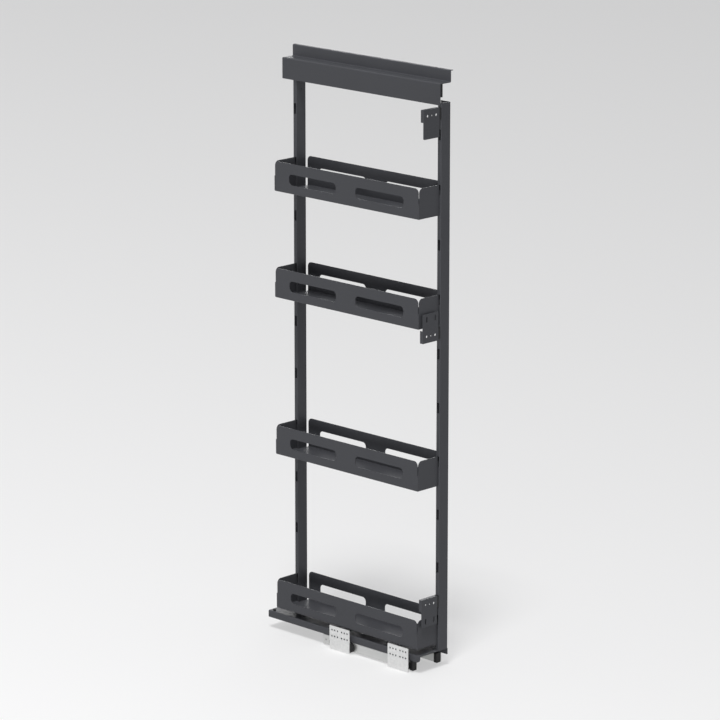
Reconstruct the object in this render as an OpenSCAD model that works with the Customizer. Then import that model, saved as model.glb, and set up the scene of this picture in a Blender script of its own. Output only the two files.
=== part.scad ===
// Pull out pantry frame for a 150 mm kitchen cabinet, drawn pushed in.
// +X is the pull-out direction and points at the door, -Y is the open side of the frame,
// +Z is up and Z = 0 is the bottom of the plates that are screwed to the cabinet sides.

/* [Cabinet fit] */
// Clear width between the two cabinet sides
cabinet_w = 114; // [108:1:160]
// Length of the top rail
rail_len = 508; // [490:1:560]
// Distance from the front end of the top rail to the back of the door
rail_setback = 4; // [1:0.5:10]
// Pull-out travel of the frame
travel = 280; // [200:5:300]

/* [Baskets] */
// Outer length of a basket
basket_len = 467; // [440:1:480]
// Outer width of a basket
basket_w = 101; // [90:1:104]
// Height of a basket
basket_h = 72; // [66:1:90]
// Sheet thickness of the baskets
basket_sheet = 1.5; // [1:0.1:2]
// Outer bend radius along the bottom of a basket
basket_bend_r = 3; // [2.5:0.5:6]
// Slots that the four baskets hang in, counted up from the lowest one
basket_slots = [8, 6, 3, 0]; // [0:1:9]
// Height of the long openings
opening_h = 26; // [16:1:30]
// Corner radius of the long openings
opening_r = 10; // [3:0.5:12]
// Wall left below the long openings
opening_sill = 21; // [12:1:26]
// Wall left between a long opening and the end of the basket
opening_margin = 48; // [35:1:80]
// Wall left between the two openings of a long wall
opening_bridge = 63; // [30:1:120]
// Radius of the rounded top corners
corner_r = 11; // [4:0.5:14]
// Depth of the open slit at the near corners
slit_depth = 35; // [20:1:44]
// Width of the open slit at the near corners
slit_w = 2; // [1.6:0.1:3]
// Height of the neck of a hook tab
hook_neck = 12; // [8:0.5:16]
// Drop of a hook tab behind the flange
hook_drop = 7; // [4:0.5:8]
// Width of the finger of a hook tab
hook_finger = 3; // [2:0.5:5]
// Gap between a basket and the flange that it hangs on
hang_gap = 0.3; // [0.2:0.1:0.8]
// Gap between the rear part of a basket and the uprights
rear_gap = 3; // [1:0.5:6]

/* [Uprights] */
// Width of an upright across the cabinet
upright_w = 31; // [28:0.5:36]
// Depth of the slotted flange
upright_flange = 12; // [11:0.5:16]
// Depth of the lip that closes the slotted flange from behind
upright_lip = 12; // [10:0.5:14]
// Height of the notch between that lip and the tray
upright_notch = 6; // [5:0.5:10]
// Depth of the wide rear flange
upright_wing = 30; // [20:1:40]
// Sheet thickness of the uprights
upright_sheet = 1.5; // [1:0.1:2]
// Number of slots in an upright
slot_count = 10; // [9:1:12]
// Distance from slot to slot
slot_pitch = 128; // [128:32:160]
// Width of a slot
slot_w = 8; // [5:0.5:8]
// Height of a slot
slot_h = 25; // [21:1:30]
// Corner radius of a slot
slot_r = 1; // [0.5:0.1:2]
// Height of the upright above its highest slot
upright_head = 60; // [56:1:100]
// Length of the foot plate that stands on the tray
foot_len = 26; // [20:1:32]
// Inner bend radius of the uprights and of the tray
sheet_bend_r = 1; // [0.6:0.1:1.5]

/* [Base tray] */
// Length of the tray
tray_len = 504; // [496:1:520]
// Height of the tray
tray_h = 16.5; // [14:0.5:24]
// Sheet thickness of the tray and of the carriers under it
tray_sheet = 2; // [1.5:0.1:2.5]
// Radius of the rounded front corner of the near tray wall
tray_corner_r = 10; // [4:0.5:12]
// Gap between the tray and the lowest basket
basket_gap = 14; // [8:0.5:30]
// Gap between the tray walls and the fixed slide members
tray_gap = 0.5; // [0.3:0.1:2]
// Length of a cross carrier
carrier_len = 60; // [44:1:80]
// Distance from the slide's ends to the cross carriers
carrier_inset = 52; // [40:1:70]
// Distance from the screw heads to the ends of a carrier
carrier_edge = 5; // [3:0.5:8]
// Diameter of the rubber stop on the tray
bumper_d = 7; // [4:0.5:12]
// Height of the rubber stop on the tray
bumper_h = 4.5; // [2:0.5:8]
// Edge radius of the rubber stop
bumper_r = 1; // [0.3:0.1:1.8]

/* [Ball slides] */
// Length of the fixed slide member
slide_len = 286; // [280:1:330]
// Distance from the front end of the tray to the front end of the fixed member
slide_setback = 32; // [28:1:40]
// Height of a slide
slide_h = 24; // [23:0.5:30]
// Thickness of a slide
slide_w = 14; // [13.5:0.1:18]
// Height of the slides above the bottom of the mounting plates
slide_lift = 3; // [0.5:0.5:8]
// Sheet thickness of the slide members
slide_sheet = 1.5; // [1.2:0.1:1.6]
// Inner bend radius of the fixed member
slide_bend_r = 1; // [0.6:0.1:1.2]
// Depth of the lips of the fixed member
outer_lip = 9.5; // [8.8:0.1:10.5]
// Height of the mounting face of the inner member
inner_face_h = 20; // [16:0.5:22]
// Ball diameter
ball_d = 2.8; // [2.4:0.1:2.9]
// Depth that a ball sits in each race
race_depth = 0.2; // [0.15:0.05:0.3]
// Clearance of a ball in its race and in its cage
ball_clearance = 0.1; // [0.05:0.05:0.15]
// Balls in one row of a cage
ball_count = 6; // [3:1:10]
// Length kept free at both ends of a ball cage when the frame is pulled out
cage_margin = 20; // [8:1:40]
// Sheet thickness of a ball cage
cage_sheet = 0.6; // [0.4:0.1:0.7]
// Gap between slide members and cages
slide_gap = 0.4; // [0.3:0.05:0.5]
// Step from the end of one slide member to the end of the next
member_step = 2; // [1:0.5:4]
// Distance from the rear end of the fixed member to its open hole
slide_hole_inset = 10; // [6:0.5:11]
// Length of the front caps
cap_len = 8.5; // [5:0.5:14]
// Edge radius of the front caps
cap_r = 1.5; // [0.5:0.1:3]

/* [Mounting plates] */
// Width of a plate
plate_w = 66; // [60:1:84]
// Height of a plate
plate_h = 58; // [56:1:80]
// Thickness of a plate
plate_sheet = 2; // [1.5:0.1:3]
// Corner radius of a plate
plate_r = 0.8; // [0.5:0.1:5]
// Distance between the front and the rear plate
plate_pitch = 192; // [128:32:192]
// Distance from the front plate to the front end of the slide
plate_inset = 30; // [28:1:40]
// Diameter of the screw holes
plate_hole_d = 5; // [4:0.1:6]
// Distance between the two groups of holes
plate_group_pitch = 32; // [28:1:34]
// Distance from hole to hole within a group
plate_hole_pitch = 9.2; // [8:0.1:9.8]
// Distance between the two rows of holes
plate_row_pitch = 15; // [12:0.5:16]
// Distance from the upper row of holes to the top of the plate
plate_row_inset = 10; // [6:0.5:11]
// Thickness of the spacer blocks
spacer_t = 7.5; // [6:0.5:12]
// Lengths of the front and of the rear spacer blocks
spacer_len = [64, 78]; // [60:1:90]
// Shift of the rear spacer blocks towards the door
spacer_shift = 3; // [0:0.5:6]
// Corner radius of the spacer blocks
spacer_r = 11; // [4:0.5:11]

/* [Top rail] */
// Sheet thickness of the rail and its track
rail_sheet = 1.5; // [1:0.1:2]
// Outer bend radius of the rail
rail_bend_r = 3; // [2.5:0.5:5]
// Height of the front wall of the rail
rail_wall_h = 50; // [48:1:70]
// Height of the upright flange of the rail
rail_flange_h = 27; // [16:1:40]
// Depth of the lip along the top of the rail
rail_lip = 7; // [6.4:0.1:8]
// Overlap of the rail's front wall and the uprights
rail_overlap = 5; // [2:0.5:6]
// Gap between the rail's front wall and the uprights
rail_gap = 1; // [0.5:0.1:2]
// Diameter of the screw holes in the lip
rail_hole_d = 4; // [3:0.1:4.4]
// Distance between the outer screw holes in the lip
rail_hole_span = 448; // [416:32:448]
// Distance between the inner screw holes in the lip
rail_hole_inner_span = 192; // [128:32:256]
// Height of the guide track
track_h = 36; // [30:1:38]
// Distance from the rail's front end to the front end of the track
track_inset = 22; // [16:1:24]
// Distance from the rail's rear end to the rear end of the track
track_rear_inset = 2; // [0.5:0.5:6]
// Distance from rivet to rivet along the track
track_rivet_pitch = 200; // [120:5:220]

/* [Guide roller] */
// Diameter of the guide roller
roller_d = 24; // [18:0.5:24]
// Height of the guide roller
roller_h = 19; // [14:0.5:20]
// Edge radius of the guide roller
roller_r = 2; // [0.5:0.1:3]
// Side play of the roller in the track
roller_play = 0.3; // [0.2:0.1:0.6]
// Diameter of the roller's axle
axle_d = 6; // [4:0.5:8]
// Diameter of the axle's head
axle_head_d = 10; // [9:0.5:13]
// Diameter of the axle's riveted end
axle_rivet_d = 9; // [9:0.5:11]
// Height of the axle's head and of its riveted end
axle_head_h = 2; // [1:0.1:3]
// Running clearance of the roller on its axle
axle_clearance = 0.05; // [0.02:0.01:0.1]
// Height of the roller bracket above the upright
roller_rise = 8; // [4:0.5:9]
// Height of the roller bracket below the top of the upright
roller_leg_h = 36; // [28:1:50]
// Gap between the roller and the leg of its bracket
roller_gap = 1; // [0.5:0.1:3]
// Distance from the edges of the roller bracket to the edge of the roller
roller_edge = 2; // [1:0.5:4]

/* [Door brackets] */
// Sheet thickness of the brackets and their arms
bracket_sheet = 2; // [1.5:0.1:2.5]
// Width of a bracket
bracket_w = 51; // [46:1:54]
// Height of a bracket
bracket_h = 68; // [64:1:80]
// Gap between a bracket and the upright beside it
bracket_side_gap = 8.5; // [5:0.5:10]
// Radius of the outer corner at the plain end of a bracket
bracket_r = 3; // [1:0.5:6]
// Height of the folded end of a bracket
bracket_fold_h = 29; // [26:1:31]
// Depth of the folded end of a bracket
bracket_fold = 9.5; // [6:0.5:12]
// Distance from the folded end to the row of holes
bracket_row = 15; // [10:0.5:17]
// Distance from hole to hole of a bracket
bracket_hole_pitch = 14; // [12:0.5:15]
// Distance from the row of holes to the edge beside the upright
bracket_hole_edge = 10; // [6:0.5:12]
// Diameter of the two outer holes
bracket_hole_d = 6; // [4:0.1:7]
// Diameter of the middle hole
bracket_pin_hole_d = 4; // [3:0.1:5]
// Distance from the row of holes to the centre of the slots
bracket_slot_drop = 40; // [34:1:42]
// Width of the adjusting slots
bracket_slot_w = 4.5; // [3:0.1:6]
// Length of the adjusting slots
bracket_slot_len = 14; // [8:0.5:20]
// Overlap of an arm and the bracket that it holds
arm_lap = 5; // [3:0.5:6]
// Distance between the two screws of an arm
arm_screw_pitch = 14; // [10:0.5:16]
// Gap between the screw heads and the fold of an arm
arm_screw_gap = 2; // [0.5:0.1:2.5]
// Distance from the top of the upright to the top bracket
bracket_top_gap = 8; // [5.5:0.5:16]
// Distance from the folded end of the middle bracket up to the basket above it
bracket_middle_gap = 4; // [1:0.5:8]
// Distance from the lowest basket up to the folded end of the bottom bracket
bracket_bottom_gap = 21; // [4:1:40]

/* [Fasteners] */
// Diameter of the screws
screw_d = 4; // [3:0.1:5]
// Diameter of the screw heads
screw_head_d = 7; // [5.5:0.1:8]
// Height of the screw heads
screw_head_h = 2; // [1:0.1:2.5]
// Length of a screw end that stands out of the last sheet
screw_end = 3; // [1:0.5:5]
// Diameter of the rivets
rivet_d = 5; // [3:0.1:6]
// Diameter of the rivet heads on the rail
rivet_head_d = 8; // [7:0.1:11]
// Height of the rivet heads on the rail
rivet_head_h = 1.2; // [0.6:0.1:2]
// Radial clearance of a screw or rivet in its hole
hole_clearance = 0.1; // [0.05:0.05:0.3]

/* [Hidden] */
$fn = 48;
// Length by which a cutting body stands out of what it cuts
cut = 1;

// Colours
coat = [0.31, 0.32, 0.33];
dark_coat = [0.18, 0.18, 0.19];
black = [0.09, 0.09, 0.1];
zinc = [0.78, 0.79, 0.8];
white_zinc = [0.9, 0.9, 0.89];
steel = [0.62, 0.63, 0.64];

// Planes across the cabinet
side_y = cabinet_w / 2;
slide_y = side_y - plate_sheet - spacer_t;
slide_inner_y = slide_y - slide_w;
upright_far_y = slide_y;
upright_near_y = upright_far_y - upright_w;
upright_mid_y = (upright_near_y + upright_far_y) / 2;
wall_y = upright_near_y - hang_gap;
// Bends of the uprights, and the flat of the web between them
upright_r = upright_sheet + sheet_bend_r;
upright_web_y0 = upright_near_y + upright_r;
upright_web_y1 = upright_far_y - upright_r;

// Planes along the pull-out direction
door_x = (rail_len + rail_setback) / 2;
rail_x1 = door_x - rail_setback;
rail_x0 = rail_x1 - rail_len;
front_web_x = door_x - bracket_sheet;
slot_front_x = front_web_x - upright_flange / 2;
slot_rear_x = slot_front_x - (basket_len - basket_sheet);
rear_web_x = slot_rear_x + upright_flange / 2;
basket_x = (slot_front_x + slot_rear_x) / 2;
tray_x1 = front_web_x;
tray_x0 = tray_x1 - tray_len;
slide_x1 = tray_x1 - slide_setback;
slide_x0 = slide_x1 - slide_len;
cap_x = slide_x1 + tray_gap;

// Levels
slide_top_z = slide_lift + slide_h;
tray_wall_z = slide_top_z + tray_gap;
tray_z = tray_wall_z + tray_h;
tray_under_z = tray_z - tray_sheet;
basket_z0 = tray_z + basket_gap;
slot_z0 = basket_z0 + basket_h;
upright_lip_z = tray_z + upright_notch;
upright_z = slot_z0 + (slot_count - 1) * slot_pitch + upright_head;
rail_wall_z = upright_z - rail_overlap;
rail_plate_z = rail_wall_z + rail_wall_h;
rail_z = rail_plate_z + rail_flange_h;

// Cross-section of a slide: depth from its outer face, height from its bottom
ball_gap = ball_d - 2 * race_depth;
middle_s = slide_sheet + 2 * slide_gap + cage_sheet;
inner_s = middle_s + slide_sheet + 2 * slide_gap + cage_sheet;
middle_lip_s = slide_w - slide_sheet - slide_gap;
outer_ball_s = (middle_s + slide_sheet + outer_lip) / 2;
inner_ball_s = (inner_s + middle_lip_s) / 2;
outer_lip_z = slide_h - slide_sheet;
middle_top = outer_lip_z - ball_gap;
middle_lip_z = middle_top - slide_sheet;
inner_top = middle_lip_z - ball_gap;
inner_lip_z = inner_top - slide_sheet;
outer_ball_z = outer_lip_z - ball_gap / 2;
inner_ball_z = middle_lip_z - ball_gap / 2;
// A cage starts in the middle of the slide and ends in the middle of the overlap when pulled out
cage_len = slide_len - member_step - travel / 2 - 2 * cage_margin;
middle_x0 = slide_x0 + member_step;
middle_x1 = slide_x1 - member_step;
inner_x0 = middle_x0 + member_step;
outer_cage_x = (middle_x0 + slide_x1) / 2;
inner_cage_x = (inner_x0 + middle_x1) / 2;

// Holes for screws and rivets
screw_hole_d = screw_d + 2 * hole_clearance;
rivet_hole_d = rivet_d + 2 * hole_clearance;

// Mounting plates, front then rear
plate_x = [slide_x1 - plate_inset, slide_x1 - plate_inset - plate_pitch];
spacer_x = [plate_x[0], plate_x[1] + spacer_shift];
plate_row_z = [plate_h - plate_row_inset - plate_row_pitch, plate_h - plate_row_inset];
plate_rivet_x = plate_group_pitch / 2;
slide_mid_z = slide_lift + slide_h / 2;

// Carriers, front then rear
carrier_x = [slide_x1 - carrier_inset - carrier_len / 2, slide_x0 + carrier_inset + carrier_len / 2];
carrier_screw_x = (carrier_len - screw_head_d) / 2 - carrier_edge;
carrier_screw_y = slide_inner_y / 2;

// Guide roller and track
roller_bracket_z = upright_z + roller_rise;
roller_z = roller_bracket_z + roller_play;
roller_x = rear_web_x - upright_sheet - bracket_sheet - roller_gap - roller_d / 2;
track_w = roller_d + 2 * roller_play;
track_x0 = rail_x0 + track_rear_inset;
track_x1 = rail_x1 - track_inset;
track_top_z = rail_plate_z - rail_sheet;
track_rivet_x = [for (step = [-1, 0, 1]) (track_x0 + track_x1) / 2 + step * track_rivet_pitch];
roller_tab_w = roller_d - 2 * roller_edge;

// Brackets from top to bottom: level of the folded end, and 1 where that end is the upper one
bracket_ends = [
    [upright_z - bracket_top_gap, 1],
    [basket_z0 + basket_slots[1] * slot_pitch - bracket_middle_gap - bracket_fold_h, 0],
    [slot_z0 + bracket_bottom_gap + bracket_fold_h, 1]
];
bracket_y1 = upright_near_y - bracket_side_gap;
bracket_y0 = bracket_y1 - bracket_w;
bracket_hole_y = bracket_y1 - bracket_hole_edge - bracket_hole_pitch;
arm_screw_x = front_web_x - bracket_sheet - arm_screw_gap - screw_head_d / 2;
arm_screw_z = (bracket_fold_h + bracket_sheet) / 2;

// Extrudes a [y, z] outline along X
module along_x(x, length) {
    translate([x, 0, 0]) rotate([90, 0, 90]) linear_extrude(height = length) children();
}

// Extrudes an [x, z] outline along Y
module along_y(y, length) {
    translate([0, y + length, 0]) rotate([90, 0, 0]) linear_extrude(height = length) children();
}

// Extrudes an [x, y] outline along Z
module along_z(z, length) {
    translate([0, 0, z]) linear_extrude(height = length) children();
}

// Centred rectangle with round corners
module round_rect(size, r) {
    square([size[0] - 2 * r, size[1]], center = true);
    square([size[0], size[1] - 2 * r], center = true);
    for (x = [-1, 1], y = [-1, 1])
        translate([x * (size[0] / 2 - r), y * (size[1] / 2 - r)]) circle(r = r);
}

// Upright slot with round ends
module long_slot(width, length) {
    square([width, length - width], center = true);
    for (side = [-1, 1]) translate([0, side * (length - width) / 2]) circle(d = width);
}

// Bend of a sheet: a quarter ring that fills the first quadrant, turned by an angle
module bend(centre, angle, r, sheet) {
    translate(centre) rotate(angle) intersection() {
        difference() {
            circle(r = r);
            circle(r = r - sheet);
        }
        square(r);
    }
}

// What a round corner takes off a square one whose tip is at the origin
module corner_off(r) {
    difference() {
        translate([-cut, -cut]) square(r + cut);
        translate([r, r]) circle(r = r);
    }
}

// Round hole across a sheet, with room on both sides
module hole_y(x, y, z, d) {
    translate([x, y, z]) rotate([90, 0, 0]) cylinder(d = d, h = 4 * tray_sheet, center = true);
}

module hole_x(x, y, z, d) {
    translate([x, y, z]) rotate([0, 90, 0]) cylinder(d = d, h = 4 * tray_sheet, center = true);
}

module hole_z(x, y, z, d) {
    translate([x, y, z]) cylinder(d = d, h = 4 * tray_sheet, center = true);
}

// Pan head screw along -Z, whose head sits on Z = 0
module screw(grip) {
    cylinder(d = screw_head_d, h = screw_head_h);
    translate([0, 0, -grip - screw_end]) cylinder(d = screw_d, h = grip + screw_end);
}

// The near side of the cabinet as drawn, or its mirror image on the far side
module on_side(far) {
    if (far) mirror([0, 1, 0]) children();
    else children();
}

// A slide outline carried to the near side of the cabinet and extruded along X
module slide_bar(x, length) {
    translate([0, -slide_y, slide_lift]) along_x(x, length) children();
}

// Lower levels of a lip in the upper half of a slide outline and of its twin in the lower half
function both_z(z, height) = [z, slide_h - z - height];

module race(s, ball_z) {
    for (z = both_z(ball_z, 0)) translate([s, z]) circle(d = ball_d + 2 * ball_clearance);
}

module outer_outline() {
    r = slide_sheet + slide_bend_r;
    difference() {
        union() {
            translate([0, r]) square([slide_sheet, slide_h - 2 * r]);
            bend([r, slide_h - r], 90, r, slide_sheet);
            bend([r, r], 180, r, slide_sheet);
            for (z = both_z(outer_lip_z, slide_sheet))
                translate([r, z]) square([outer_lip - r, slide_sheet]);
        }
        race(outer_ball_s, outer_ball_z);
    }
}

module middle_outline() {
    difference() {
        union() {
            translate([middle_s, slide_h - middle_top]) square([slide_sheet, 2 * middle_top - slide_h]);
            for (z = both_z(middle_lip_z, slide_sheet))
                translate([middle_s, z]) square([middle_lip_s - middle_s, slide_sheet]);
        }
        race(outer_ball_s, outer_ball_z);
        race(inner_ball_s, inner_ball_z);
    }
}

module inner_outline() {
    difference() {
        union() {
            translate([slide_w - slide_sheet, (slide_h - inner_face_h) / 2])
                square([slide_sheet, inner_face_h]);
            for (z = both_z(inner_lip_z, slide_sheet))
                translate([inner_s, z]) square([slide_w - inner_s, slide_sheet]);
        }
        race(inner_ball_s, inner_ball_z);
    }
}

// Cage of one ball stage: a strip through each ball row, joined by a web
module cage(web_s, ball_s, ball_z, x) {
    tip_s = ball_s + ball_d / 2 + ball_clearance + cage_sheet;
    difference() {
        slide_bar(x - cage_len / 2, cage_len) {
            translate([web_s, slide_h - ball_z]) square([cage_sheet, 2 * ball_z - slide_h]);
            for (z = both_z(ball_z - cage_sheet / 2, cage_sheet))
                translate([web_s, z]) square([tip_s - web_s, cage_sheet]);
        }
        ball_places(ball_s, ball_z, x)
            cylinder(d = ball_d + 2 * ball_clearance, h = 2 * cage_sheet, center = true);
    }
}

module ball_places(ball_s, ball_z, x) {
    pitch = cage_len / ball_count;
    for (i = [0 : ball_count - 1], z = [ball_z, slide_h - ball_z])
        translate([x - cage_len / 2 + (i + 0.5) * pitch, ball_s - slide_y, slide_lift + z]) children();
}

module slide_outer(far) {
    color(zinc) on_side(far) difference() {
        slide_bar(slide_x0, slide_len) outer_outline();
        plate_rivet_places() cylinder(d = rivet_hole_d, h = 4 * slide_sheet, center = true);
        hole_y(slide_x0 + slide_hole_inset, -slide_y, slide_mid_z, screw_d);
    }
}

module slide_middle(far) {
    color(zinc) on_side(far) slide_bar(middle_x0, middle_x1 - middle_x0) middle_outline();
}

module slide_inner(far) {
    color(zinc) on_side(far) difference() {
        slide_bar(inner_x0, cap_x - inner_x0) inner_outline();
        carrier_side_screw_places() cylinder(d = screw_hole_d, h = 6 * slide_sheet, center = true);
    }
}

module cage_outer(far) {
    color(steel) on_side(far) cage(slide_sheet + slide_gap, outer_ball_s, outer_ball_z, outer_cage_x);
}

module cage_inner(far) {
    web_s = middle_s + slide_sheet + slide_gap;
    color(steel) on_side(far) cage(web_s, inner_ball_s, inner_ball_z, inner_cage_x);
}

module balls_outer(far) {
    color(steel) on_side(far) ball_places(outer_ball_s, outer_ball_z, outer_cage_x) sphere(d = ball_d);
}

module balls_inner(far) {
    color(steel) on_side(far) ball_places(inner_ball_s, inner_ball_z, inner_cage_x) sphere(d = ball_d);
}

// Front cap: a block as large as the slide's end, with a tongue in the inner member
module slide_cap(far) {
    tongue_h = 2 * inner_lip_z - slide_h - 2 * hole_clearance;
    tongue_s = inner_s + slide_gap;
    color(black) on_side(far) {
        slide_bar(cap_x, cap_len)
            translate([slide_w / 2, slide_h / 2]) round_rect([slide_w, slide_h], cap_r);
        slide_bar(cap_x - cap_len, cap_len)
            translate([tongue_s, (slide_h - tongue_h) / 2])
                square([slide_w - slide_sheet - hole_clearance - tongue_s, tongue_h]);
    }
}

module plate_rivet_places() {
    for (x = plate_x, step = [-1, 1])
        translate([x + step * plate_rivet_x, -slide_y, slide_mid_z]) rotate([90, 0, 0]) children();
}

// Plate on the near cabinet side with two groups of three holes in each of two rows
module mount_plate(far, index) {
    color(white_zinc) on_side(far) difference() {
        along_y(-side_y, plate_sheet)
            translate([plate_x[index], plate_h / 2]) round_rect([plate_w, plate_h], plate_r);
        for (group = [-1, 1], step = [-1, 0, 1], z = plate_row_z)
            hole_y(plate_x[index] + group * plate_group_pitch / 2 + step * plate_hole_pitch,
                   -side_y, z, plate_hole_d);
        plate_rivet_places()
            cylinder(d = rivet_hole_d, h = 4 * (spacer_t + plate_sheet), center = true);
    }
}

module spacer(far, index) {
    color(black) on_side(far) difference() {
        along_y(-slide_y - spacer_t, spacer_t)
            translate([spacer_x[index], slide_mid_z])
                round_rect([spacer_len[index], slide_h], spacer_r);
        plate_rivet_places()
            cylinder(d = rivet_hole_d, h = 4 * (spacer_t + plate_sheet), center = true);
    }
}

// Flush rivets through plate, spacer and fixed slide member
module plate_rivets() {
    color(zinc) for (far = [false, true]) on_side(far) plate_rivet_places()
        translate([0, 0, -slide_sheet]) cylinder(d = rivet_d, h = slide_sheet + spacer_t + plate_sheet);
}

// Z-shaped rail: front wall, plate, upright flange and lip, bent from one sheet
module top_rail() {
    y0 = upright_near_y - rail_gap - rail_sheet;
    y1 = side_y - rail_lip;
    r = rail_bend_r;
    t = rail_sheet;
    z = rail_plate_z - t;
    color(coat) difference() {
        along_x(rail_x0, rail_len) {
            translate([y0, rail_wall_z]) square([t, rail_wall_h - r]);
            bend([y0 + r, rail_plate_z - r], 90, r, t);
            translate([y0 + r, z]) square([y1 - y0 - 2 * r, t]);
            bend([y1 - r, z + r], 270, r, t);
            translate([y1 - t, z + r]) square([t, rail_flange_h + t - 2 * r]);
            bend([y1 - t + r, rail_z - r], 90, r, t);
            translate([y1 - t + r, rail_z - t]) square([side_y - y1 + t - r, t]);
        }
        for (x = [-1, 1], span = [rail_hole_span, rail_hole_inner_span])
            hole_z(x * span / 2, (side_y + y1 - t + r) / 2, rail_z, rail_hole_d);
        for (x = track_rivet_x) hole_z(x, upright_mid_y, rail_plate_z, rivet_hole_d);
    }
}

// Inverted channel for the roller, closed by a bent stop at its front end
module guide_track() {
    y0 = upright_mid_y - track_w / 2;
    z0 = track_top_z - track_h;
    color(dark_coat) difference() {
        union() {
            along_x(track_x0, track_x1 - track_x0) {
                for (y = [y0 - rail_sheet, y0 + track_w])
                    translate([y, z0]) square([rail_sheet, track_h]);
                translate([y0, track_top_z - rail_sheet]) square([track_w, rail_sheet]);
            }
            along_x(track_x1 - rail_sheet, rail_sheet) translate([y0, z0]) square([track_w, track_h]);
        }
        for (x = track_rivet_x) hole_z(x, upright_mid_y, track_top_z, rivet_hole_d);
    }
}

// Rivets that end flush with the rail plate, with their heads inside the track
module track_rivets() {
    grip = 2 * rail_sheet;
    color(steel) for (x = track_rivet_x) translate([x, upright_mid_y, rail_plate_z]) {
        translate([0, 0, -grip]) cylinder(d = rivet_d, h = grip);
        translate([0, 0, -grip - rivet_head_h]) cylinder(d = rivet_head_d, h = rivet_head_h);
    }
}

// Inverted tray of bent sheet, open at both ends
module base_tray() {
    r = tray_sheet + sheet_bend_r;
    flat = slide_y - r;
    color(coat) difference() {
        along_x(tray_x0, tray_len) {
            translate([-flat, tray_under_z]) square([2 * flat, tray_sheet]);
            bend([flat, tray_z - r], 0, r, tray_sheet);
            bend([-flat, tray_z - r], 90, r, tray_sheet);
            for (y = [-slide_y, slide_y - tray_sheet])
                translate([y, tray_wall_z]) square([tray_sheet, tray_h - r]);
        }
        along_y(-slide_y - cut, tray_sheet + 2 * cut)
            translate([tray_x1, tray_wall_z]) mirror([1, 0]) corner_off(tray_corner_r);
        carrier_top_screw_places() cylinder(d = screw_hole_d, h = 4 * tray_sheet, center = true);
        upright_screw_places() cylinder(d = screw_hole_d, h = 6 * tray_sheet, center = true);
    }
}

module tray_bumper() {
    color(black) translate([tray_x0 + 2 * bumper_d, -slide_y + bumper_d, tray_z])
        rotate_extrude() intersection() {
            translate([0, -bumper_h]) square([bumper_d, 2 * bumper_h]);
            translate([0, bumper_h / 2]) round_rect([bumper_d, bumper_h], bumper_r);
            square([bumper_d, bumper_h]);
        }
}

// Hat-shaped carrier that joins both inner members and holds the tray
module carrier(index) {
    leg_z = slide_lift + (slide_h - inner_face_h) / 2;
    x = carrier_x[index] - carrier_len / 2;
    color(zinc) difference() {
        along_x(x, carrier_len) {
            translate([-slide_inner_y, tray_under_z - tray_sheet])
                square([2 * slide_inner_y, tray_sheet]);
            for (y = [-slide_inner_y, slide_inner_y - tray_sheet])
                translate([y, leg_z]) square([tray_sheet, tray_under_z - leg_z]);
        }
        carrier_top_screw_places() cylinder(d = screw_hole_d, h = 8 * tray_sheet, center = true);
        for (far = [false, true]) on_side(far)
            carrier_side_screw_places() cylinder(d = screw_hole_d, h = 6 * tray_sheet, center = true);
    }
}

module carrier_top_screw_places() {
    for (x = carrier_x, step = [-1, 1], y = [-1, 1])
        translate([x + step * carrier_screw_x, y * carrier_screw_y, tray_z]) children();
}

module carrier_side_screw_places() {
    for (x = carrier_x, step = [-1, 1])
        translate([x + step * carrier_screw_x, tray_sheet - slide_inner_y, slide_mid_z])
            rotate([-90, 0, 0]) children();
}

module carrier_screws() {
    color(steel) {
        carrier_top_screw_places() screw(2 * tray_sheet);
        for (far = [false, true]) on_side(far)
            carrier_side_screw_places() screw(tray_sheet + slide_sheet);
    }
}

// An upright is a bent channel on a foot plate, drawn as strips that meet beside its bends.
// The first strip is the slotted near flange with the bends on both sides of it
module upright_flange_strip(web_x) {
    lip_x = web_x - upright_flange;
    slot_x = web_x - upright_flange / 2;
    difference() {
        union() {
            along_z(tray_z, upright_z - tray_z) {
                translate([lip_x + upright_r, upright_near_y])
                    square([upright_flange - 2 * upright_r, upright_sheet]);
                bend([web_x - upright_r, upright_web_y0], 270, upright_r, upright_sheet);
            }
            along_z(upright_lip_z, upright_z - upright_lip_z)
                bend([lip_x + upright_r, upright_web_y0], 180, upright_r, upright_sheet);
        }
        for (i = [0 : slot_count - 1])
            along_y(upright_near_y - cut, upright_sheet + 2 * cut)
                translate([slot_x, slot_z0 + i * slot_pitch - slot_h / 2])
                    round_rect([slot_w, slot_h], slot_r);
    }
}

// The lip that closes the slots from behind
module upright_lip_strip(web_x) {
    along_z(upright_lip_z, upright_z - upright_lip_z)
        translate([web_x - upright_flange, upright_web_y0])
            square([upright_sheet, upright_lip - upright_r]);
}

module upright_web_strip(web_x) {
    along_z(tray_z, upright_z - tray_z)
        translate([web_x - upright_sheet, upright_web_y0])
            square([upright_sheet, upright_web_y1 - upright_web_y0]);
}

// The wide far flange with its bend
module upright_wing_strip(web_x) {
    along_z(tray_z, upright_z - tray_z) {
        bend([web_x - upright_r, upright_web_y1], 0, upright_r, upright_sheet);
        translate([web_x - upright_wing, upright_far_y - upright_sheet])
            square([upright_wing - upright_r, upright_sheet]);
    }
}

// The plate at the foot of the web, which is screwed to the tray
module upright_foot_plate(web_x) {
    difference() {
        along_z(tray_z, upright_sheet)
            translate([web_x - upright_sheet - foot_len, upright_web_y0])
                square([foot_len, upright_web_y1 - upright_web_y0]);
        upright_screw_places() cylinder(d = screw_hole_d, h = 6 * tray_sheet, center = true);
    }
}

module upright_front_flange() {
    color(coat) difference() {
        upright_flange_strip(front_web_x);
        arm_screw_places() cylinder(d = screw_hole_d, h = 6 * bracket_sheet, center = true);
    }
}

module upright_front_lip() {
    color(coat) upright_lip_strip(front_web_x);
}

module upright_front_web() {
    color(coat) upright_web_strip(front_web_x);
}

module upright_front_wing() {
    color(coat) upright_wing_strip(front_web_x);
}

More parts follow.
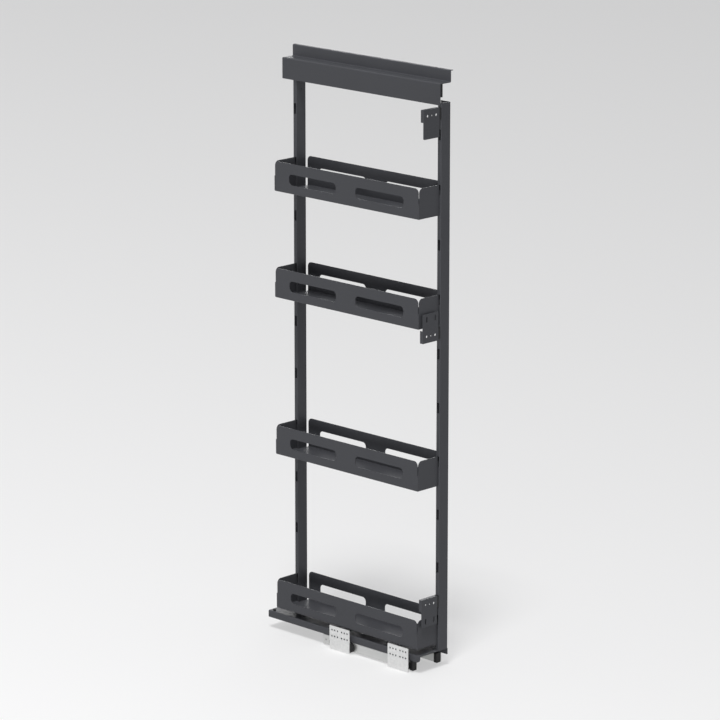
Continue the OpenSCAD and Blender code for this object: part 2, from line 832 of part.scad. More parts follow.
module upright_front_foot() {
    color(coat) upright_foot_plate(front_web_x);
}

module upright_rear_flange() {
    color(coat) upright_flange_strip(rear_web_x);
}

module upright_rear_lip() {
    color(coat) upright_lip_strip(rear_web_x);
}

module upright_rear_web() {
    color(coat) difference() {
        upright_web_strip(rear_web_x);
        roller_bracket_screw_places() cylinder(d = screw_hole_d, h = 6 * bracket_sheet, center = true);
    }
}

module upright_rear_wing() {
    color(coat) upright_wing_strip(rear_web_x);
}

module upright_rear_foot() {
    color(coat) upright_foot_plate(rear_web_x);
}

module upright_screw_places() {
    for (x = [front_web_x, rear_web_x], step = [-1, 1])
        translate([x - upright_sheet - foot_len / 2, upright_mid_y + step * upright_w / 5,
                   tray_z + upright_sheet])
            children();
}

module upright_screws() {
    color(steel) upright_screw_places() screw(upright_sheet + tray_sheet);
}

// Box with rounded bottom edges, open or closed at the top
module tub(length, width, height, r) {
    intersection() {
        along_x(-length / 2, length) tub_outline(width, height, r);
        along_y(-width / 2, width) tub_outline(length, height, r);
    }
}

module tub_outline(width, height, r) {
    translate([-width / 2, r]) square([width, height - r]);
    translate([-width / 2 + r, 0]) square([width - 2 * r, 2 * r]);
    for (side = [-1, 1]) translate([side * (width / 2 - r), r]) circle(r = r);
}

// Folded sheet basket, hung in the slots by a hook tab at each end
module basket(index) {
    z = basket_z0 + basket_slots[index] * slot_pitch;
    color(coat) translate([basket_x, 0, z]) {
        difference() {
            tub(basket_len, basket_w, basket_h, basket_bend_r);
            translate([0, 0, basket_sheet])
                tub(basket_len - 2 * basket_sheet, basket_w - 2 * basket_sheet, basket_h,
                    basket_bend_r - basket_sheet);
            basket_openings();
            basket_rear_cuts();
            basket_corner_cuts();
        }
        basket_hooks();
    }
}

// Two long openings through both long walls
module basket_openings() {
    opening_len = (basket_len - opening_bridge) / 2 - opening_margin;
    opening_x = (opening_bridge + opening_len) / 2;
    for (side = [-1, 1])
        along_y(-basket_w / 2 - cut, basket_w + 2 * cut)
            translate([side * opening_x, opening_sill + opening_h / 2])
                round_rect([opening_len, opening_h], opening_r);
}

// Ends of the rear part, which stands between the uprights, with round top corners
module basket_rear_cuts() {
    rear_x0 = rear_web_x + rear_gap - basket_x;
    rear_x1 = front_web_x - upright_wing - rear_gap - basket_x;
    deep = basket_w / 2 - wall_y + cut;
    along_y(wall_y, deep) {
        translate([-basket_len / 2 - cut, -cut])
            square([rear_x0 + basket_len / 2 + cut, basket_h + 2 * cut]);
        translate([rear_x1, -cut]) square([basket_len / 2 + cut - rear_x1, basket_h + 2 * cut]);
        translate([rear_x0, basket_h]) mirror([0, 1]) corner_off(corner_r);
        translate([rear_x1, basket_h]) rotate(180) corner_off(corner_r);
    }
}

// Round top corners of the near wall and of the end walls, and the slits between them
module basket_corner_cuts() {
    for (side = [0, 1]) mirror([side, 0, 0]) {
        translate([basket_len / 2, -basket_w / 2, basket_h - slit_depth])
            translate([-slit_w, -cut, 0]) cube([slit_w + cut, slit_w + cut, slit_depth + cut]);
        along_y(-basket_w / 2 - cut, basket_sheet + cut)
            translate([basket_len / 2 - slit_w, basket_h]) rotate(180) corner_off(corner_r);
        along_x(basket_len / 2 - basket_sheet, basket_sheet + cut)
            translate([slit_w - basket_w / 2, basket_h]) mirror([0, 1]) corner_off(corner_r);
    }
}

// A neck through the slot that rests on the slot's lower edge, and a finger behind the flange
module basket_hooks() {
    neck_z = basket_h - slot_h;
    finger_y = upright_near_y + upright_sheet + hang_gap;
    for (x = [-basket_len / 2, basket_len / 2 - basket_sheet]) along_x(x, basket_sheet) {
        translate([wall_y - basket_sheet, neck_z])
            square([finger_y + hook_finger - wall_y + basket_sheet, hook_neck]);
        translate([finger_y, neck_z - hook_drop]) square([hook_finger, hook_drop + hook_neck]);
    }
}

// A bracket outline lies with its folded end at Z = 0 and its other end above it
module bracket_frame(index) {
    level = bracket_ends[index][0];
    translate([0, 0, level]) mirror([0, 0, bracket_ends[index][1]]) children();
}

// Plate behind the door: a row of three holes, two adjusting slots and a folded end
module door_bracket(index, slots) {
    x = door_x - bracket_sheet;
    fold_x = door_x - bracket_fold;
    mid_y = bracket_hole_y;
    color(coat) bracket_frame(index) difference() {
        union() {
            translate([x, bracket_y0, 0]) cube([bracket_sheet, bracket_w, bracket_h]);
            translate([fold_x, bracket_y0, 0]) cube([bracket_fold, bracket_w, bracket_sheet]);
            translate([fold_x, bracket_y0, 0]) cube([bracket_fold, bracket_sheet, bracket_fold_h]);
        }
        for (side = [-1, 1]) hole_x(x, mid_y + side * bracket_hole_pitch, bracket_row, bracket_hole_d);
        hole_x(x, mid_y, bracket_row, bracket_pin_hole_d);
        if (slots)
            for (side = [-1, 1])
                along_x(x - cut, bracket_sheet + 2 * cut)
                    translate([mid_y + side * bracket_hole_pitch, bracket_row + bracket_slot_drop])
                        long_slot(bracket_slot_w, bracket_slot_len);
        along_x(x - cut, bracket_sheet + 2 * cut)
            translate([bracket_y0, bracket_h]) mirror([0, 1]) corner_off(bracket_r);
    }
}

// Angle between the back of a bracket and the slotted flange of the front upright
module bracket_arm(index) {
    arm_y = upright_near_y - bracket_sheet;
    arm_h = bracket_fold_h - bracket_sheet;
    x = front_web_x - bracket_sheet;
    color(black) difference() {
        bracket_frame(index) {
            translate([x, bracket_y1 - arm_lap, bracket_sheet])
                cube([bracket_sheet, upright_near_y - bracket_y1 + arm_lap, arm_h]);
            translate([front_web_x - upright_flange, arm_y, bracket_sheet])
                cube([upright_flange, bracket_sheet, arm_h]);
        }
        arm_screw_places() cylinder(d = screw_hole_d, h = 6 * bracket_sheet, center = true);
    }
}

module arm_screw_places() {
    for (index = [0, 1, 2], step = [-1, 1])
        bracket_frame(index)
            translate([arm_screw_x, upright_near_y - bracket_sheet,
                       arm_screw_z + step * arm_screw_pitch / 2])
                rotate([90, 0, 0]) children();
}

module bracket_screws() {
    color(black) arm_screw_places() screw(bracket_sheet + upright_sheet);
}

// Angle on the rear upright: a leg on the web and a tab that carries the roller's axle
module roller_bracket() {
    x = rear_web_x - upright_sheet - bracket_sheet;
    tab_x = roller_x - roller_d / 2 + roller_edge;
    color(zinc) difference() {
        union() {
            translate([x, upright_mid_y - roller_tab_w / 2, upright_z - roller_leg_h])
                cube([bracket_sheet, roller_tab_w, roller_leg_h + roller_rise]);
            translate([tab_x, upright_mid_y - roller_tab_w / 2, roller_bracket_z - bracket_sheet])
                cube([x + bracket_sheet - tab_x, roller_tab_w, bracket_sheet]);
        }
        hole_z(roller_x, upright_mid_y, roller_bracket_z, axle_d + 2 * axle_clearance);
        roller_bracket_screw_places() cylinder(d = screw_hole_d, h = 6 * bracket_sheet, center = true);
    }
}

module roller_bracket_screw_places() {
    for (step = [-1, 1])
        translate([rear_web_x - upright_sheet - bracket_sheet, upright_mid_y,
                   upright_z - roller_leg_h / 2 + step * roller_leg_h / 4])
            rotate([0, -90, 0]) children();
}

// Screws with their heads behind the bracket, which end flush with the face of the upright
module roller_bracket_screws() {
    grip = upright_sheet + bracket_sheet;
    color(steel) roller_bracket_screw_places() {
        cylinder(d = screw_head_d, h = screw_head_h);
        translate([0, 0, -grip]) cylinder(d = screw_d, h = grip);
    }
}

// Headed axle, riveted under the tab of the roller bracket
module roller_axle() {
    shank_z = roller_bracket_z - bracket_sheet - axle_head_h;
    head_z = roller_z + roller_h + roller_play;
    color(steel) translate([roller_x, upright_mid_y, 0]) {
        translate([0, 0, shank_z]) cylinder(d = axle_d, h = head_z - shank_z);
        translate([0, 0, head_z]) cylinder(d = axle_head_d, h = axle_head_h);
        translate([0, 0, shank_z]) cylinder(d = axle_rivet_d, h = axle_head_h);
    }
}

// Roller with rounded rims that turns on the axle
module guide_roller() {
    bore_r = axle_d / 2 + axle_clearance;
    color(white_zinc) translate([roller_x, upright_mid_y, roller_z]) difference() {
        rotate_extrude() intersection() {
            translate([0, roller_h / 2]) round_rect([roller_d, roller_h], roller_r);
            square([roller_d, roller_h]);
        }
        translate([0, 0, -cut]) cylinder(r = bore_r, h = roller_h + 2 * cut);
    }
}

top_rail();
guide_track();
track_rivets();
slide_outer(false);  // slide_outer_near
slide_outer(true);  // slide_outer_far
mount_plate(false, 0);  // mount_plate_near_front
mount_plate(false, 1);  // mount_plate_near_rear
mount_plate(true, 0);  // mount_plate_far_front
mount_plate(true, 1);  // mount_plate_far_rear
spacer(false, 0);  // spacer_near_front
spacer(false, 1);  // spacer_near_rear
spacer(true, 0);  // spacer_far_front
spacer(true, 1);  // spacer_far_rear
plate_rivets();
slide_middle(false);  // slide_middle_near
slide_middle(true);  // slide_middle_far
cage_outer(false);  // cage_outer_near
cage_outer(true);  // cage_outer_far
cage_inner(false);  // cage_inner_near
cage_inner(true);  // cage_inner_far
balls_outer(false);  // balls_outer_near
balls_outer(true);  // balls_outer_far
balls_inner(false);  // balls_inner_near
balls_inner(true);  // balls_inner_far
slide_inner(false);  // slide_inner_near
slide_inner(true);  // slide_inner_far
slide_cap(false);  // slide_cap_near
slide_cap(true);  // slide_cap_far
carrier(0);  // carrier_front
carrier(1);  // carrier_rear
carrier_screws();
base_tray();
tray_bumper();
upright_front_flange();
upright_front_lip();
upright_front_web();
upright_front_wing();
upright_front_foot();
upright_rear_flange();
upright_rear_lip();
upright_rear_web();
upright_rear_wing();
upright_rear_foot();
upright_screws();
basket(0);  // basket_1
basket(1);  // basket_2
basket(2);  // basket_3
basket(3);  // basket_4
door_bracket(0, false);  // door_bracket_top
door_bracket(1, true);  // door_bracket_middle
door_bracket(2, true);  // door_bracket_bottom
bracket_arm(0);  // bracket_arm_top
bracket_arm(1);  // bracket_arm_middle
bracket_arm(2);  // bracket_arm_bottom
bracket_screws();
roller_bracket();
roller_bracket_screws();
roller_axle();
guide_roller();
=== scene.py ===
import math

import bmesh
import bpy
from mathutils import Matrix, Vector


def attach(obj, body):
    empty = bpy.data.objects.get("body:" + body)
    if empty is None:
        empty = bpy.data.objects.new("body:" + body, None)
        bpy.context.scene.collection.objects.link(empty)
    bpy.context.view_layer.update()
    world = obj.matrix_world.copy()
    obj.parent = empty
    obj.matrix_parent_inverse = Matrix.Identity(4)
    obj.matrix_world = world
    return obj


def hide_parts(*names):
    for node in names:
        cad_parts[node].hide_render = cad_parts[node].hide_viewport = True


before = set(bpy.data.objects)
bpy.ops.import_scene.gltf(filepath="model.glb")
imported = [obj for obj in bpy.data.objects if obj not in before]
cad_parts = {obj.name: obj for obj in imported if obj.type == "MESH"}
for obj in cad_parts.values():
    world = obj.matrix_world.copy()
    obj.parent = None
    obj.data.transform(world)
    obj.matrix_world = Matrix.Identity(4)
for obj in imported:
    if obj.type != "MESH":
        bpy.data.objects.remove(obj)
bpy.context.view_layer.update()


# Mounting plates: four flat plates of pale zinc-plated steel, punched with two rows of six holes.
# They are screwed to the cabinet sides, and flush rivets of the same zinc tie the slides to them.


class Tone:
    """One socket of a finish. Arithmetic on tones adds Math nodes."""

    def __init__(self, tree, socket=None):
        self.tree = tree
        self.socket = socket

    def node(self, kind, settings=None, sockets=None, out=0):
        """Adds a node, sets it up, feeds its sockets with values or tones and returns one output."""
        made = self.tree.nodes.new(kind)
        for name, value in (settings or {}).items():
            setattr(made, name, value)
        for name, value in (sockets or {}).items():
            if isinstance(value, Tone):
                self.tree.links.new(value.socket, made.inputs[name])
            else:
                made.inputs[name].default_value = value
        return Tone(self.tree, made.outputs[out])

    def maths(self, operation, first, second, clamp=False):
        settings = {"operation": operation, "use_clamp": clamp}
        return self.node("ShaderNodeMath", settings, {0: first, 1: second})

    def __add__(self, other):
        return self.maths("ADD", self, other)

    def __sub__(self, other):
        return self.maths("SUBTRACT", self, other)

    def __rsub__(self, other):
        return self.maths("SUBTRACT", other, self)

    def __mul__(self, other):
        return self.maths("MULTIPLY", self, other)

    def __truediv__(self, other):
        return self.maths("DIVIDE", self, other)

    def __rtruediv__(self, other):
        return self.maths("DIVIDE", other, self)

    __radd__ = __add__
    __rmul__ = __mul__

    def held(self):
        """This tone, kept between 0 and 1."""
        return self.maths("ADD", self, 0.0, clamp=True)

    def between(self, low, high):
        """The colour between two colours that this tone picks."""
        return self.node("ShaderNodeMix", {"data_type": "RGBA"}, {0: self, 6: low, 7: high}, 2)

    def spot(self, stretch=(1, 1, 1)):
        """The place on the part in metres, stretched along its axes."""
        place = self.node("ShaderNodeTexCoord", out="Object")
        return self.node("ShaderNodeVectorMath", {"operation": "MULTIPLY"}, {0: place, 1: stretch})

    def noise(self, place, scale, detail=2.0):
        sockets = {"Vector": place, "Scale": scale, "Detail": detail, "Roughness": 0.55}
        return self.node("ShaderNodeTexNoise", None, sockets)

    def edges(self, radius):
        """The normal with edges rounded to a radius, and a mask that is 1 on those edges. Added to a
        colour, the mask paints the edges paler, partly as wear and partly as a painted highlight.
        """
        rounded = self.node("ShaderNodeBevel", {"samples": 6}, {"Radius": radius})
        flat = self.node("ShaderNodeNewGeometry", out="True Normal")
        dot = {"operation": "DOT_PRODUCT"}
        facing = self.node("ShaderNodeVectorMath", dot, {0: rounded, 1: flat}, "Value")
        return rounded, ((1 - facing) * 5).held()

    def bump(self, height, depth, normal):
        sockets = {"Strength": 1.0, "Distance": depth, "Height": height, "Normal": normal}
        return self.node("ShaderNodeBump", None, sockets)

    def seen(self):
        """1 for a ray from the camera, a mirror image or a clear piece, and 0 for scattered light."""
        rays = ("Is Camera Ray", "Is Glossy Ray", "Is Transmission Ray")
        camera, mirror, clear = (self.node("ShaderNodeLightPath", out=ray) for ray in rays)
        return (camera + mirror + clear).held()


def finish(name, constants, recipe):
    """A material with constant shader sockets and a recipe for the sockets that vary."""
    material = bpy.data.materials.new(name)
    material.use_nodes = True
    tree = material.node_tree
    shader = tree.nodes["Principled BSDF"]
    for socket, value in constants.items():
        shader.inputs[socket].default_value = value
    for socket, tone in recipe(Tone(tree)).items():
        tree.links.new(tone.socket, shader.inputs[socket])
    return material


def dress(material, *names):
    """Puts a finish on CAD nodes."""
    for name in names:
        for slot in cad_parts[name].material_slots:
            slot.material = material


def pale_zinc_recipe(tone):
    place = tone.spot()
    normal, edge_wear_and_highlight = tone.edges(0.0004)
    cells = tone.node("ShaderNodeTexVoronoi", None, {"Vector": place, "Scale": 260.0}, "Color")
    spangle = tone.node("ShaderNodeSeparateColor", None, {"Color": cells}, "Red")
    rolled = tone.noise(tone.spot((60, 900, 900)), 1.0, 3.0)
    handled = tone.noise(place, 35.0, 4.0)
    # The edge mask paints the edges paler: partly wear, partly a painted highlight.
    shade = (spangle * 0.35 + rolled * 0.4 + handled * 0.35 + edge_wear_and_highlight * 0.3).held()
    return {
        "Base Color": shade.between((0.74, 0.745, 0.74, 1), (0.94, 0.94, 0.93, 1)),
        "Roughness": 0.34 + spangle * 0.08 + handled * 0.12,
        "Metallic": 0.35 + spangle * 0.15,
        "Normal": tone.bump(rolled * 0.6 + spangle * 0.4, 0.00002, normal),
    }


pale_zinc = finish("pale_zinc", {"IOR": 1.5}, pale_zinc_recipe)
dress(pale_zinc, "mount_plate_near_front", "mount_plate_near_rear")
dress(pale_zinc, "mount_plate_far_front", "mount_plate_far_rear", "plate_rivets")


# Spacer blocks: moulded black plastic blocks with round ends, clamped between plate and slide.
# Their skin has a fine moulded grain and is a little paler on its edges, partly from wear and partly
# as a painted highlight.


def black_plastic_recipe(tone):
    place = tone.spot()
    normal, edge_wear_and_highlight = tone.edges(0.0006)
    grain = tone.noise(place, 2600.0, 2.0)
    flow = tone.noise(place, 40.0, 3.0)
    # The edge mask paints the edges paler: partly wear, partly a painted highlight.
    shade = (grain * 0.5 + flow * 0.3 + edge_wear_and_highlight * 0.5).held()
    return {
        "Base Color": shade.between((0.004, 0.004, 0.0045, 1), (0.014, 0.014, 0.015, 1)),
        "Roughness": 0.42 + grain * 0.16 + flow * 0.08,
        "Normal": tone.bump(grain, 0.00006, normal),
    }


black_plastic = finish("black_plastic", {"IOR": 1.4}, black_plastic_recipe)
dress(black_plastic, "spacer_near_front", "spacer_near_rear", "spacer_far_front", "spacer_far_rear")


# Ball slides: three roll-formed members of bright zinc-plated strip on each side of the frame.
# The outer one is riveted to the plates and the inner one carries the frame. Drawn lines run along
# all three.


def slide_zinc_recipe(tone):
    place = tone.spot()
    normal, edge_wear_and_highlight = tone.edges(0.0004)
    drawn = tone.noise(tone.spot((7, 1500, 1500)), 1.0, 3.0)
    cloud = tone.noise(tone.spot((9, 60, 60)), 1.0, 4.0)
    fleck = tone.noise(place, 1900.0, 1.0)
    # The edge mask paints the edges paler: partly wear, partly a painted highlight.
    shade = (drawn * 0.5 + cloud * 0.35 + fleck * 0.15 + edge_wear_and_highlight * 0.25).held()
    return {
        "Base Color": shade.between((0.49, 0.50, 0.50, 1), (0.745, 0.745, 0.73, 1)),
        "Roughness": 0.24 + cloud * 0.16 + drawn * 0.08,
        "Metallic": 0.8 + fleck * 0.2,
        "Normal": tone.bump(drawn, 0.00003, normal),
    }


slide_zinc = finish("slide_zinc", {"IOR": 1.5}, slide_zinc_recipe)
for side in ("near", "far"):
    dress(slide_zinc, f"slide_outer_{side}", f"slide_middle_{side}", f"slide_inner_{side}")


# Ball cages and balls: stamped steel strips that keep two rows of hardened balls in the races.
# The strips are scratched lengthwise and oily, and the balls are ground bright.


def cage_steel_recipe(tone):
    place = tone.spot()
    normal, edge_wear_and_highlight = tone.edges(0.0002)
    oil = tone.noise(place, 90.0, 3.0)
    scratch = tone.noise(tone.spot((25, 2200, 2200)), 1.0, 2.0)
    # The edge mask paints the edges paler: partly wear, partly a painted highlight.
    shade = (oil * 0.6 + scratch * 0.4 + edge_wear_and_highlight * 0.3).held()
    return {
        "Base Color": shade.between((0.36, 0.36, 0.35, 1), (0.66, 0.66, 0.65, 1)),
        "Roughness": 0.22 + oil * 0.25,
        "Normal": tone.bump(scratch, 0.00002, normal),
    }


def ball_steel_recipe(tone):
    place = tone.spot()
    oil = tone.noise(place, 500.0, 2.0)
    return {
        "Base Color": oil.between((0.52, 0.53, 0.54, 1), (0.74, 0.74, 0.75, 1)),
        "Roughness": 0.08 + oil * 0.1,
    }


cage_steel = finish("cage_steel", {"Metallic": 1.0}, cage_steel_recipe)
ball_steel = finish("ball_steel", {"Metallic": 1.0}, ball_steel_recipe)
for side in ("near", "far"):
    for stage in ("outer", "inner"):
        dress(cage_steel, f"cage_{stage}_{side}")
        dress(ball_steel, f"balls_{stage}_{side}")


# Front caps: moulded plugs pushed into the inner members, in the plastic of the spacer blocks.
dress(black_plastic, "slide_cap_near", "slide_cap_far")


# Cross carriers: two hat-shaped strips of slide zinc that join both inner members under the tray.
dress(slide_zinc, "carrier_front", "carrier_rear")


# Carrier screws: zinc pan head screws with a cross recess and a rolled thread.
# One set goes down through the tray, the other goes outward into the inner slide members.


def lathe(profile, segments):
    """A closed turned body from a profile of (radius, height) that starts and ends on the axis."""
    made = bmesh.new()
    rings = []
    for radius, height in profile:
        if radius == 0:
            rings.append([made.verts.new((0, 0, height))])
            continue
        turns = [math.tau * i / segments for i in range(segments)]
        spots = [(radius * math.cos(turn), radius * math.sin(turn), height) for turn in turns]
        rings.append([made.verts.new(spot) for spot in spots])
    for lower, upper in zip(rings, rings[1:]):
        for i in range(segments):
            j = (i + 1) % segments
            below = [lower[i % len(lower)], lower[j % len(lower)]]
            above = [upper[j % len(upper)], upper[i % len(upper)]]
            made.faces.new(dict.fromkeys(below + above))
    bmesh.ops.recalc_face_normals(made, faces=made.faces)
    return made


def body_of(made, name):
    """An object from a bmesh, smooth apart from its sharp edges."""
    crease = math.radians(32)
    mesh = bpy.data.meshes.new(name)
    made.to_mesh(mesh)
    made.free()
    mesh.shade_smooth()
    mesh.set_sharp_from_angle(angle=crease)
    piece = bpy.data.objects.new(name, mesh)
    bpy.context.scene.collection.objects.link(piece)
    return piece


def solids(node):
    """The points of each separate solid of a CAD node."""
    same_point = 1e-6
    made = bmesh.new()
    made.from_mesh(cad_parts[node].data)
    bmesh.ops.remove_doubles(made, verts=made.verts, dist=same_point)
    left = set(made.verts)
    found = []
    for seed in made.verts:
        if seed not in left:
            continue
        reached, waiting = {seed}, [seed]
        while waiting:
            here = waiting.pop()
            for link in here.link_edges:
                other = link.other_vert(here)
                if other not in reached:
                    reached.add(other)
                    waiting.append(other)
        left -= reached
        found.append([v.co.copy() for v in reached])
    made.free()
    return found


def headed_seats(node):
    """The place of each screw of a node, with Z out of its head, and its length and head radius."""
    same_level = 1e-5
    seats = []
    for points in solids(node):
        low = Vector(map(min, *points))
        high = Vector(map(max, *points))
        size = high - low
        axis = max(range(3), key=lambda k: size[k])
        middle = (low + high) / 2
        reach = {}
        for end in (low, high):
            flat = [p - middle for p in points if abs(p[axis] - end[axis]) < same_level]
            for point in flat:
                point[axis] = 0
            reach[end[axis]] = max(point.length for point in flat)
        head = max(reach, key=reach.get)
        out = Vector((0, 0, 0))
        out[axis] = 1 if head == high[axis] else -1
        top = middle.copy()
        top[axis] = head
        place = Matrix.Translation(top) @ out.to_track_quat("Z", "Y").to_matrix().to_4x4()
        seats.append((place, size[axis], max(reach.values())))
    return seats


def pan_screw(length, head_radius):
    """A pan head screw that hangs from Z = 0 down, with a domed head and a rolled thread."""
    head, shank, pitch = 0.002, 0.002, 0.0007
    run_in, neck = 0.0004, 0.0002
    tip, root = shank * 0.7, shank * 0.84
    rim, skirt = -head * 0.86, head_radius * 0.97
    dome_steps, dome_drop, flat_top = 5, 0.42, 0.3
    segments = 28
    profile = [(0, -length), (tip, -length)]
    level, out = -length + run_in, False
    while level < -head - run_in:
        profile.append((shank if out else root, level))
        level, out = level + pitch / 2, not out
    profile += [(shank, -head - neck), (shank, -head)]
    profile += [(skirt, -head), (head_radius, rim)]
    for step in range(1, dome_steps + 1):
        turn = math.pi / 2 * step / dome_steps
        dome = head_radius * (1 - dome_drop * (1 - math.cos(turn)))
        profile.append((dome, rim * (1 - math.sin(turn))))
    profile += [(head_radius * flat_top, 0), (0, 0)]
    return lathe(profile, segments)


def cross_recess(screw, head_radius):
    """The shape of a screw with a cross recess cut into its head."""
    arms = (head_radius * 1.15, 0.0009, 0.0026)
    taper_along, taper_across = 0.45, 0.7
    made = bmesh.new()
    for turn in (0, math.pi / 2):
        arm = bmesh.ops.create_cube(made, size=1)["verts"]
        bmesh.ops.scale(made, verts=arm, vec=arms)
        for corner in arm:
            if corner.co.z < 0:
                corner.co.x *= taper_along
                corner.co.y *= taper_across
        bmesh.ops.rotate(made, verts=arm, matrix=Matrix.Rotation(turn, 3, "Z"))
    cutter = body_of(made, "recess_cutter")
    cut = screw.modifiers.new("recess", "BOOLEAN")
    cut.operation, cut.solver, cut.use_self, cut.object = "DIFFERENCE", "EXACT", True, cutter
    graph = bpy.context.evaluated_depsgraph_get()
    shape = bpy.data.meshes.new_from_object(screw.evaluated_get(graph))
    bpy.data.objects.remove(cutter)
    return shape


def recessed_screw(length, radius):
    """The mesh of a pan head screw with its recess."""
    blank = body_of(pan_screw(length, radius), "screw_blank")
    shape = cross_recess(blank, radius)
    bpy.data.objects.remove(blank)
    return shape


def fasten(name, node, body, material):
    """Replaces a node of screws by detailed ones in the same places."""
    digits = 5
    made = bmesh.new()
    shapes = {}
    for place, length, radius in headed_seats(node):
        key = (round(length, digits), round(radius, digits))
        if key not in shapes:
            shapes[key] = recessed_screw(*key)
        first = len(made.verts)
        made.from_mesh(shapes[key])
        made.verts.ensure_lookup_table()
        bmesh.ops.transform(made, matrix=place, verts=made.verts[first:])
    piece = body_of(made, name)
    piece.data.materials.append(material)
    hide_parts(node)
    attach(piece, body)


def screw_zinc_recipe(tone):
    place = tone.spot()
    normal, edge_wear_and_highlight = tone.edges(0.0002)
    tint = tone.noise(place, 120.0, 3.0)
    rub = tone.noise(place, 1500.0, 2.0)
    # The edge mask paints the edges paler: partly wear, partly a painted highlight.
    shade = (tint * 0.5 + rub * 0.3 + edge_wear_and_highlight * 0.5).held()
    return {
        "Base Color": shade.between((0.4, 0.41, 0.42, 1), (0.72, 0.73, 0.73, 1)),
        "Roughness": 0.2 + rub * 0.2 + tint * 0.1,
        "Normal": tone.bump(rub, 0.00001, normal),
    }


screw_zinc = finish("screw_zinc", {"Metallic": 1.0}, screw_zinc_recipe)
fasten("carrier_pan_screws", "carrier_screws", "pull_out", screw_zinc)


# Base tray: an inverted tray of bent sheet steel in anthracite powder coat.
# The uprights stand on it, and its near front corner is cut round.


def powder_coat_recipe(tone):
    place = tone.spot()
    normal, edge_wear_and_highlight = tone.edges(0.0006)
    peel = tone.noise(place, 620.0, 2.0)
    fleck = tone.noise(place, 3600.0, 1.0)
    cloud = tone.noise(place, 7.0, 3.0)
    # The edge mask paints the edges paler: partly wear, partly a painted highlight.
    shade = (cloud * 0.45 + fleck * 0.4 + peel * 0.15 + edge_wear_and_highlight * 0.35).held()
    return {
        "Base Color": shade.between((0.0546, 0.0562, 0.0625, 1), (0.085, 0.0875, 0.0965, 1)),
        "Roughness": 0.36 + cloud * 0.08 + peel * 0.08,
        "Normal": tone.bump(peel * 0.75 + fleck * 0.25, 0.00009, normal),
    }


powder_coat = finish("anthracite_powder_coat", {"IOR": 1.3}, powder_coat_recipe)
dress(powder_coat, "base_tray")


# Tray stop: a small moulded rubber button that is pressed into the tray at its rear end.


def rubber_recipe(tone):
    place = tone.spot()
    dust = tone.noise(place, 260.0, 4.0)
    pores = tone.noise(place, 4200.0, 1.0)
    normal, edge_wear_and_highlight = tone.edges(0.0004)
    # The edge mask paints the edges paler: partly wear, partly a painted highlight.
    shade = (dust + edge_wear_and_highlight * 0.2).held()
    return {
        "Base Color": shade.between((0.006, 0.006, 0.006, 1), (0.022, 0.022, 0.021, 1)),
        "Roughness": 0.62 + dust * 0.25,
        "Normal": tone.bump(pores, 0.00005, normal),
    }


rubber = finish("stop_rubber", {"IOR": 1.5}, rubber_recipe)
dress(rubber, "tray_bumper")


# Uprights: two bent channels of powder-coated sheet with ten hanging slots each.
# A foot plate welded to each web is screwed down on the tray.
for end in ("front", "rear"):
    for strip in ("flange", "lip", "web", "wing", "foot"):
        dress(powder_coat, f"upright_{end}_{strip}")
fasten("upright_pan_screws", "upright_screws", "pull_out", screw_zinc)


# Baskets: four folded sheet steel baskets with long openings, in the same powder coat.
# A hook tab at each end of a basket drops into a slot of each upright.
dress(powder_coat, "basket_1", "basket_2", "basket_3", "basket_4")


# Door brackets: three bent plates that take the back of the door, and their black arms.
# Black screws hold each arm to the slotted flange of the front upright.


def black_coat_recipe(tone):
    place = tone.spot()
    normal, edge_wear_and_highlight = tone.edges(0.0004)
    peel = tone.noise(place, 900.0, 2.0)
    cloud = tone.noise(place, 30.0, 3.0)
    # The edge mask paints the edges paler: partly wear, partly a painted highlight.
    shade = (peel * 0.3 + cloud * 0.4 + edge_wear_and_highlight * 0.5).held()
    return {
        "Base Color": shade.between((0.008, 0.008, 0.009, 1), (0.02, 0.02, 0.0215, 1)),
        "Roughness": 0.44 + cloud * 0.15,
        "Normal": tone.bump(peel, 0.00005, normal),
    }


black_coat = finish("black_coat", {"IOR": 1.4}, black_coat_recipe)
for level in ("top", "middle", "bottom"):
    dress(powder_coat, f"door_bracket_{level}")
    dress(black_coat, f"bracket_arm_{level}")
fasten("bracket_pan_screws", "bracket_screws", "pull_out", black_coat)


# Guide roller: a white plastic roller on a riveted axle, held by a zinc angle on the rear upright.
# The roller shows fine turning lines, and coated screws hold the angle.


def roller_recipe(tone):
    place = tone.spot()
    normal, edge_wear_and_highlight = tone.edges(0.0004)
    turned = tone.noise(tone.spot((40, 40, 3000)), 1.0, 2.0)
    rub = tone.noise(place, 150.0, 3.0)
    # The edge mask paints the edges paler: partly wear, partly a painted highlight.
    shade = (rub * 0.7 + edge_wear_and_highlight * 0.3).held()
    return {
        "Base Color": shade.between((0.62, 0.61, 0.58, 1), (0.8, 0.79, 0.77, 1)),
        "Roughness": 0.3 + rub * 0.2,
        "Normal": tone.bump(turned, 0.00004, normal),
    }


roller_plastic = finish("roller_plastic", {"IOR": 1.48}, roller_recipe)
dress(roller_plastic, "guide_roller")
dress(slide_zinc, "roller_bracket")
dress(screw_zinc, "roller_axle")
fasten("roller_pan_screws", "roller_bracket_screws", "pull_out", powder_coat)


# Guide track: an inverted channel under the rail plate in which the roller runs, in black coat.
dress(black_coat, "guide_track")


# Top rail: a Z-shaped rail of bent, powder-coated sheet that is screwed under the cabinet top.
dress(powder_coat, "top_rail", "track_rivets")


# Floor: a plain pale sweep whose colour grows darker with distance, a painted shade for light that
# falls off across it. The distance is counted from a point in front of the object and held at 5 m, so
# that the floor on the near side of it stays pale. Part of its tone glows for camera rays, painted
# light that makes the shadows on it paler.


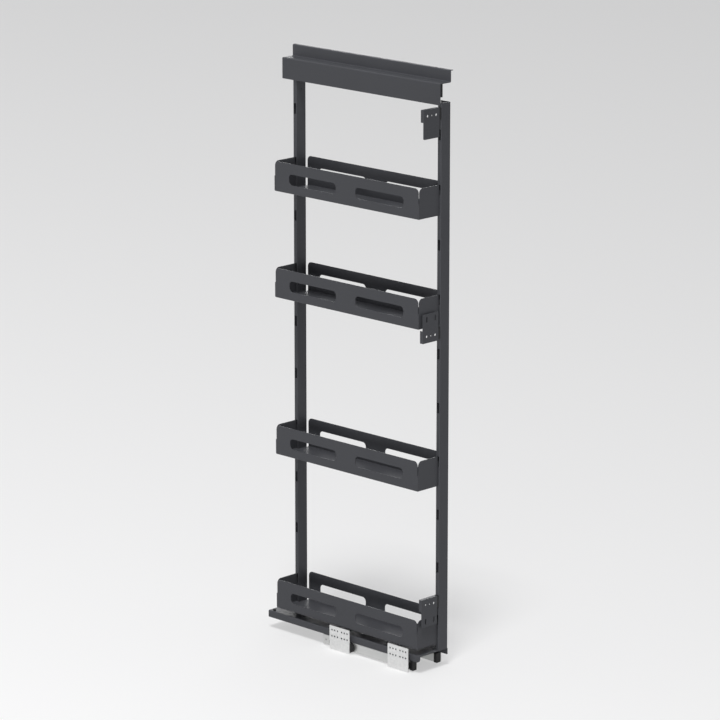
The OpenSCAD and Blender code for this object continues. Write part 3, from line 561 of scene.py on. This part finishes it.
def sweep_recipe(tone):
    away, across = (-0.7, 0.714, 0), (0.714, 0.7, 0)
    start, nearest, span = 9.2, 5, 100
    haze, fall, tilt = 0.405, 4.34, 3.6
    lit, own, bounce = 0.5, 0.535, 0.36
    black, white = (0, 0, 0, 1), (1, 1, 1, 1)
    along = {"operation": "DOT_PRODUCT"}
    place = tone.spot()
    reach = tone.node("ShaderNodeVectorMath", along, {0: place, 1: away}, "Value")
    side = tone.node("ShaderNodeVectorMath", along, {0: place, 1: across}, "Value")
    far = ((reach + (start - nearest)) / span).held() * span + nearest
    # Painted shade: the tone falls off with distance and towards one side.
    glow = (haze + fall / far - side * tilt / (far * far)).held()
    seen = tone.seen()
    return {
        "Base Color": (seen * glow * lit + (1 - seen) * bounce).between(black, white),
        # Painted light: part of the floor's tone glows for camera rays, which makes the lamps'
        # shadows on it paler.
        "Emission Color": (seen * glow * own).between(black, white),
    }


matt = {"Roughness": 0.9, "Specular IOR Level": 0.0, "Emission Strength": 1.0}
sweep = finish("pale_sweep", matt, sweep_recipe)
half_width, below = 40, -0.0004
made = bmesh.new()
bmesh.ops.create_grid(made, x_segments=1, y_segments=1, size=half_width)
bmesh.ops.translate(made, verts=made.verts, vec=(0, 0, below))
floor = body_of(made, "floor")
floor.data.materials.append(sweep)


# Light: a soft sky, a steep lamp that reaches the floors of the baskets past their near walls,
# and two level lamps from the open side and from behind, which leave the far walls dark inside.


def sun(name, azimuth, elevation, spread, strength):
    """A sun lamp that shines from an azimuth and an elevation, with its angles in degrees."""
    lamp = bpy.data.lights.new(name, "SUN")
    lamp.energy, lamp.angle = strength, math.radians(spread)
    holder = bpy.data.objects.new(name, lamp)
    bpy.context.scene.collection.objects.link(holder)
    a, e = math.radians(azimuth), math.radians(elevation)
    out = Vector((math.sin(a) * math.cos(e), -math.cos(a) * math.cos(e), math.sin(e)))
    holder.rotation_euler = out.to_track_quat("Z", "Y").to_euler()


sun("top_light", 32, 69, 14, 1.85)
sun("front_light", 30, 2, 16, 1.07)
sun("back_light", 208, 2, 40, 1.6)
world = bpy.data.worlds.new("studio")
bpy.context.scene.world = world
world.use_nodes = True
sky = Tone(world.node_tree)
scattered, mirrored = (0.34, 0.34, 0.35, 1), (0.72, 0.72, 0.73, 1)
tint = sky.seen().between(scattered, mirrored)
world.node_tree.links.new(tint.socket, world.node_tree.nodes["Background"].inputs["Color"])
bpy.context.scene.view_settings.view_transform = "Standard"


# Camera: a long lens from the front corner, which looks down a little on the middle of the frame.
azimuth, elevation = math.radians(44.43), math.radians(14.21)
distance, mid_height = 9, 0.707
aim_right, aim_down = 0.0091, 0.0041
right = Vector((math.cos(azimuth), math.sin(azimuth), 0))
level = Vector((math.sin(azimuth), -math.cos(azimuth), 0))
back = level * math.cos(elevation) + Vector((0, 0, math.sin(elevation)))
aim = Vector((0, 0, mid_height)) + right * aim_right - back.cross(right) * aim_down
lens = bpy.data.cameras.new("camera")
lens.sensor_width, lens.lens = 36, 192.4
lens.clip_start, lens.clip_end = 0.05, 200
camera = bpy.data.objects.new("camera", lens)
bpy.context.scene.collection.objects.link(camera)
camera.location = aim + back * distance
camera.rotation_euler = back.to_track_quat("Z", "Y").to_euler()
bpy.context.scene.camera = camera
